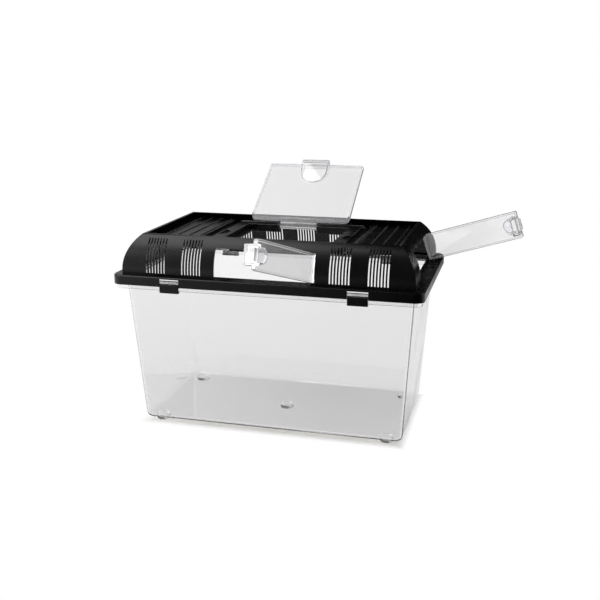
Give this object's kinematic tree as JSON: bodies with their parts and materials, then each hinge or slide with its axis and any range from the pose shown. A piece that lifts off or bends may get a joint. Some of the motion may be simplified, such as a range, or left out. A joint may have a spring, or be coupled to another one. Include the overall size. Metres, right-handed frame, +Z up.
{
  "type": "plastic pet keeper",
  "caption": "Clear tapered plastic tank under a black arched lid with vent slits, a sunken ribbed top and clear hinged doors in its top, front and end, all shown open.",
  "frame": {"origin": "on the ground under the middle of the tank", "axes": "+X to the end with the side door, +Y to the back, +Z up; the front door faces -Y"},
  "size_m": [0.4689, 0.3665, 0.3047],
  "materials": {
    "clear_plastic": "clear gloss polystyrene",
    "black_plastic": "satin black polypropylene"
  },
  "bodies": {
    "tank": {"tank": "clear_plastic"},
    "lid": {"lid_rim": "black_plastic", "front_vents_left": "black_plastic", "front_vents_right": "black_plastic", "front_door_header": "black_plastic", "rear_vent_wall": "black_plastic", "left_end_vent_wall": "black_plastic", "right_end_frame": "black_plastic", "top_panel_left": "black_plastic", "top_panel_right": "black_plastic", "top_door_frame": "black_plastic"},
    "top_door": {"top_door": "clear_plastic"},
    "front_door": {"front_door": "clear_plastic"},
    "side_door": {"side_door": "clear_plastic"},
    "top_latch": {"top_door_latch": "clear_plastic"},
    "front_latch": {"front_door_latch": "clear_plastic"},
    "side_latch": {"side_door_latch": "clear_plastic"},
    "front_left_snap": {"front_left_clip": "black_plastic"},
    "front_right_snap": {"front_right_clip": "black_plastic"},
    "rear_left_snap": {"rear_left_clip": "black_plastic"},
    "rear_right_snap": {"rear_right_clip": "black_plastic"}
  },
  "joints": [
    {"name": "lid_lift", "type": "slide", "parent": "tank", "child": "lid", "axis": [0, 0, 1], "range_m": [0, 0.12]},
    {"name": "top_door_hinge", "type": "hinge", "parent": "lid", "child": "top_door", "pos_m": [0, 0.06, 0.23], "axis": [-1, 0, 0], "range_deg": [-149, 0]},
    {"name": "front_door_hinge", "type": "hinge", "parent": "lid", "child": "front_door", "pos_m": [0.0562, -0.0946, 0.2097], "axis": [0, 0.3256, 0.9455], "range_deg": [-73, 25]},
    {"name": "side_door_hinge", "type": "hinge", "parent": "lid", "child": "side_door", "pos_m": [0.1681, 0.0595, 0.2097], "axis": [-0.3256, 0, 0.9455], "range_deg": [-79, 19]},
    {"name": "top_latch_flex", "type": "hinge", "parent": "top_door", "child": "top_latch", "pos_m": [0, 0.15373, 0.30253], "axis": [-1, 0, 0], "range_deg": [0, 14], "stiffness_Nm_per_rad": 0.4},
    {"name": "front_latch_flex", "type": "hinge", "parent": "front_door", "child": "front_latch", "pos_m": [0.01066, -0.19405, 0.24394], "axis": [0, 0.3256, 0.9455], "range_deg": [0, 14], "stiffness_Nm_per_rad": 0.4},
    {"name": "side_latch_flex", "type": "hinge", "parent": "side_door", "child": "side_latch", "pos_m": [0.27476, 0.02453, 0.24642], "axis": [-0.3256, 0, 0.9455], "range_deg": [0, 14], "stiffness_Nm_per_rad": 0.4},
    {"name": "front_left_clip_flex", "type": "hinge", "parent": "lid", "child": "front_left_snap", "pos_m": [-0.1117, -0.1108, 0.1828], "axis": [-1, 0, 0], "range_deg": [0, 15], "stiffness_Nm_per_rad": 0.4},
    {"name": "front_right_clip_flex", "type": "hinge", "parent": "lid", "child": "front_right_snap", "pos_m": [0.1117, -0.1108, 0.1828], "axis": [-1, 0, 0], "range_deg": [0, 15], "stiffness_Nm_per_rad": 0.4},
    {"name": "rear_left_clip_flex", "type": "hinge", "parent": "lid", "child": "rear_left_snap", "pos_m": [-0.1117, 0.1108, 0.1828], "axis": [1, 0, 0], "range_deg": [0, 15], "stiffness_Nm_per_rad": 0.4},
    {"name": "rear_right_clip_flex", "type": "hinge", "parent": "lid", "child": "rear_right_snap", "pos_m": [0.1117, 0.1108, 0.1828], "axis": [1, 0, 0], "range_deg": [0, 15], "stiffness_Nm_per_rad": 0.4}
  ]
}
